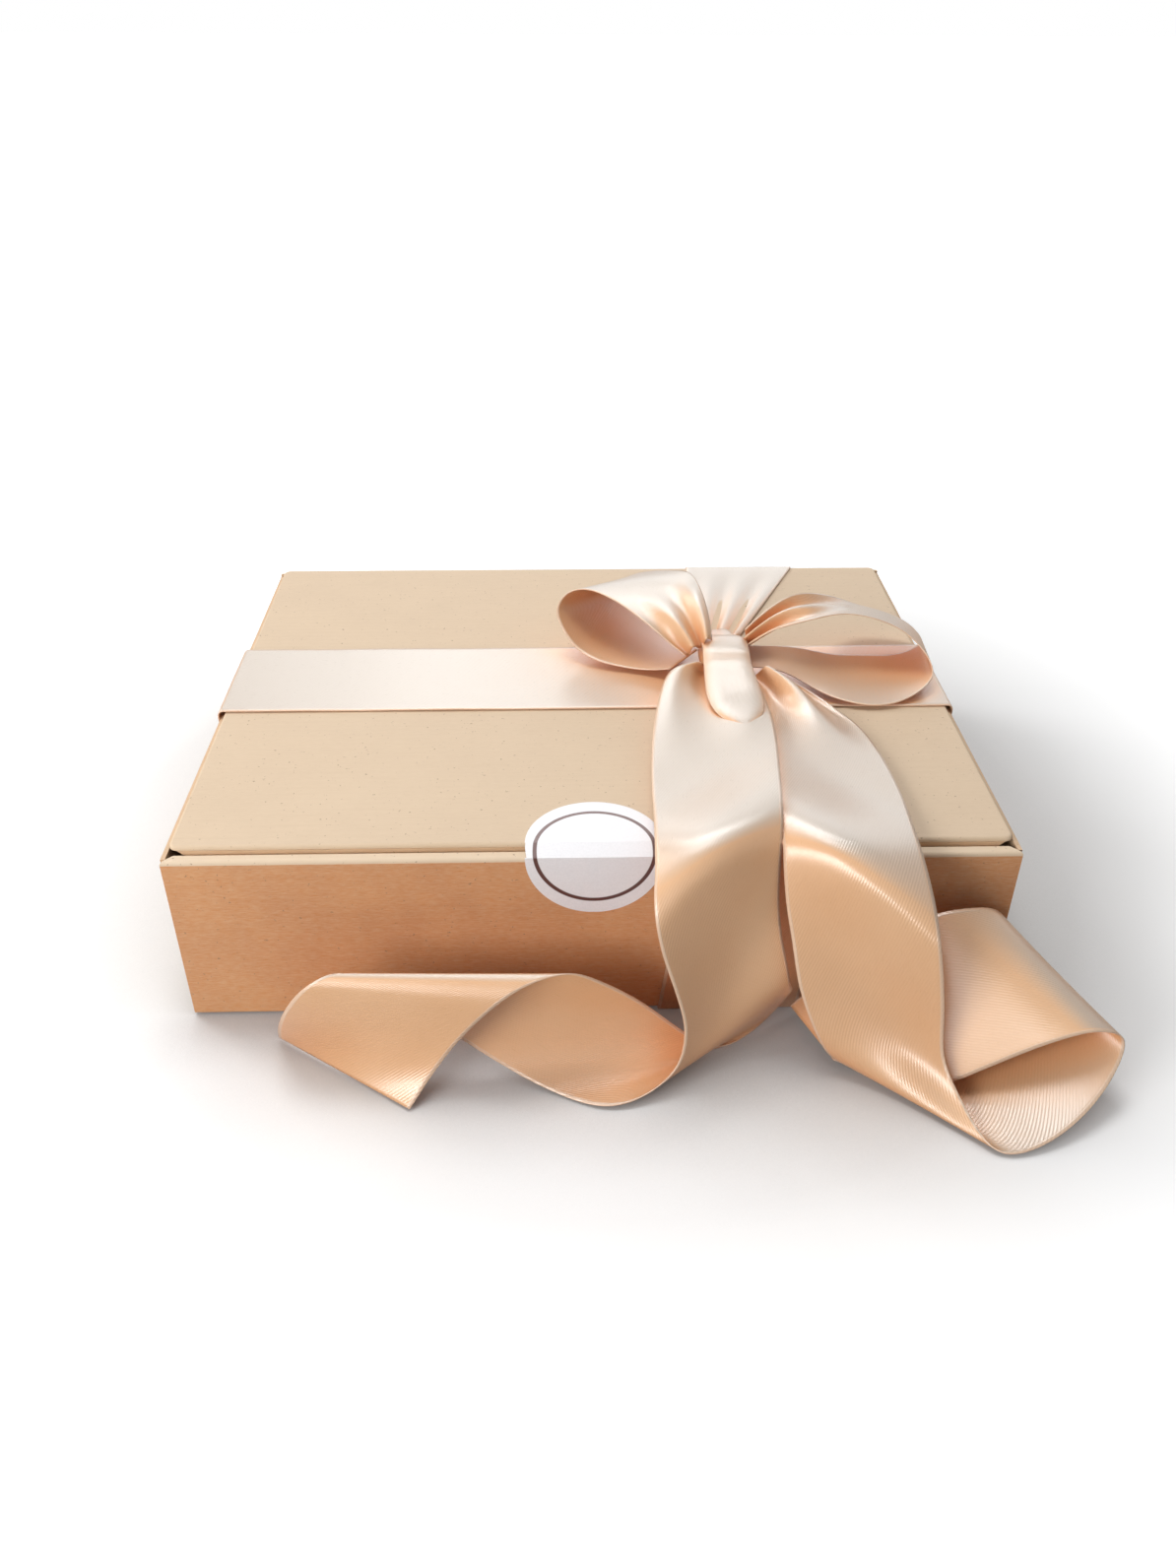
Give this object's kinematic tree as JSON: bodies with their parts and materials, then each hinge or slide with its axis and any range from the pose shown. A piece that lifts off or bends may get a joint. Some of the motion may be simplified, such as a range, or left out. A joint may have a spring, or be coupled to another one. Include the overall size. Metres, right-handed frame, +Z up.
{
  "type": "chocolate box",
  "caption": "Shallow kraft mailer box for chocolates with a hinged tuck lid, divided insert and a wide satin ribbon tied in a bow with curled tails.",
  "frame": {"origin": "centre of the box's footprint, on the surface it stands on (the underside of the ribbon that passes below the base)", "axes": "+X along the long front, +Y from the front to the hinged back, +Z up"},
  "size_m": [0.3149, 0.2916, 0.1022],
  "materials": {
    "kraft_board": "uncoated brown kraft on fine flute board, faint fibres and flute lines",
    "satin_ribbon": "champagne double-faced satin, strong soft sheen, woven edges",
    "label_paper": "smooth white label paper with a plain dark brown ring",
    "divider_board": "smooth pale board",
    "cup_paper": "dark brown glassine, fluted",
    "pad_paper": "soft embossed padding paper",
    "dark_chocolate": "tempered dark chocolate, soft gloss",
    "milk_chocolate": "tempered milk chocolate, soft gloss",
    "white_chocolate": "white chocolate, soft gloss"
  },
  "bodies": {
    "carton": {"back_wall": "kraft_board", "base_panel": "kraft_board", "cushion_pad": "pad_paper", "divider_cross_strips": "divider_board", "divider_long_strips": "divider_board", "domed_bonbons": "dark_chocolate", "front_roll_over": "kraft_board", "front_wall_inner": "kraft_board", "front_wall_outer": "kraft_board", "hexagon_fondants": "white_chocolate", "left_back_corner_flap": "kraft_board", "left_front_corner_flap": "kraft_board", "left_side_wall": "kraft_board", "paper_cups": "cup_paper", "right_back_corner_flap": "kraft_board", "right_front_corner_flap": "kraft_board", "right_side_wall": "kraft_board", "square_pralines": "milk_chocolate", "truffles": "dark_chocolate", "under_band_back": "satin_ribbon", "under_band_cross": "satin_ribbon", "under_band_front": "satin_ribbon"},
    "lid": {"lid_panel": "kraft_board", "seal_label": "label_paper"},
    "tuck": {"tuck_flap": "kraft_board"},
    "dust_left": {"left_dust_flap": "kraft_board"},
    "dust_right": {"right_dust_flap": "kraft_board"},
    "ribbon": {"cross_band_top": "satin_ribbon", "cross_band_left": "satin_ribbon", "cross_band_right": "satin_ribbon", "front_band_top": "satin_ribbon", "front_band_drop": "satin_ribbon", "back_band_top": "satin_ribbon", "back_band_drop": "satin_ribbon", "bow_knot": "satin_ribbon", "bow_loop_left": "satin_ribbon", "bow_loop_right": "satin_ribbon", "tail_left": "satin_ribbon", "tail_right": "satin_ribbon"}
  },
  "joints": [
    {"name": "lid_hinge", "type": "hinge", "parent": "carton", "child": "lid", "pos_m": [0, 0.111, 0.071], "axis": [-1, 0, 0], "range_deg": [0, 110]},
    {"name": "tuck_fold", "type": "hinge", "parent": "lid", "child": "tuck", "pos_m": [0, -0.1045, 0.0695], "axis": [1, 0, 0], "range_deg": [0, 80]},
    {"name": "left_dust_fold", "type": "hinge", "parent": "lid", "child": "dust_left", "pos_m": [-0.1387, 0, 0.0695], "axis": [0, -1, 0], "range_deg": [0, 80]},
    {"name": "right_dust_fold", "type": "hinge", "parent": "lid", "child": "dust_right", "pos_m": [0.1387, 0, 0.0695], "axis": [0, 1, 0], "range_deg": [0, 80]},
    {"name": "ribbon_lift", "type": "slide", "parent": "carton", "child": "ribbon", "axis": [0, 0, 1], "range_m": [0, 0.47]}
  ],
  "couplings": [
    {"joint": "ribbon_lift", "follows": "lid_hinge", "m_per_rad": 0.24}
  ]
}
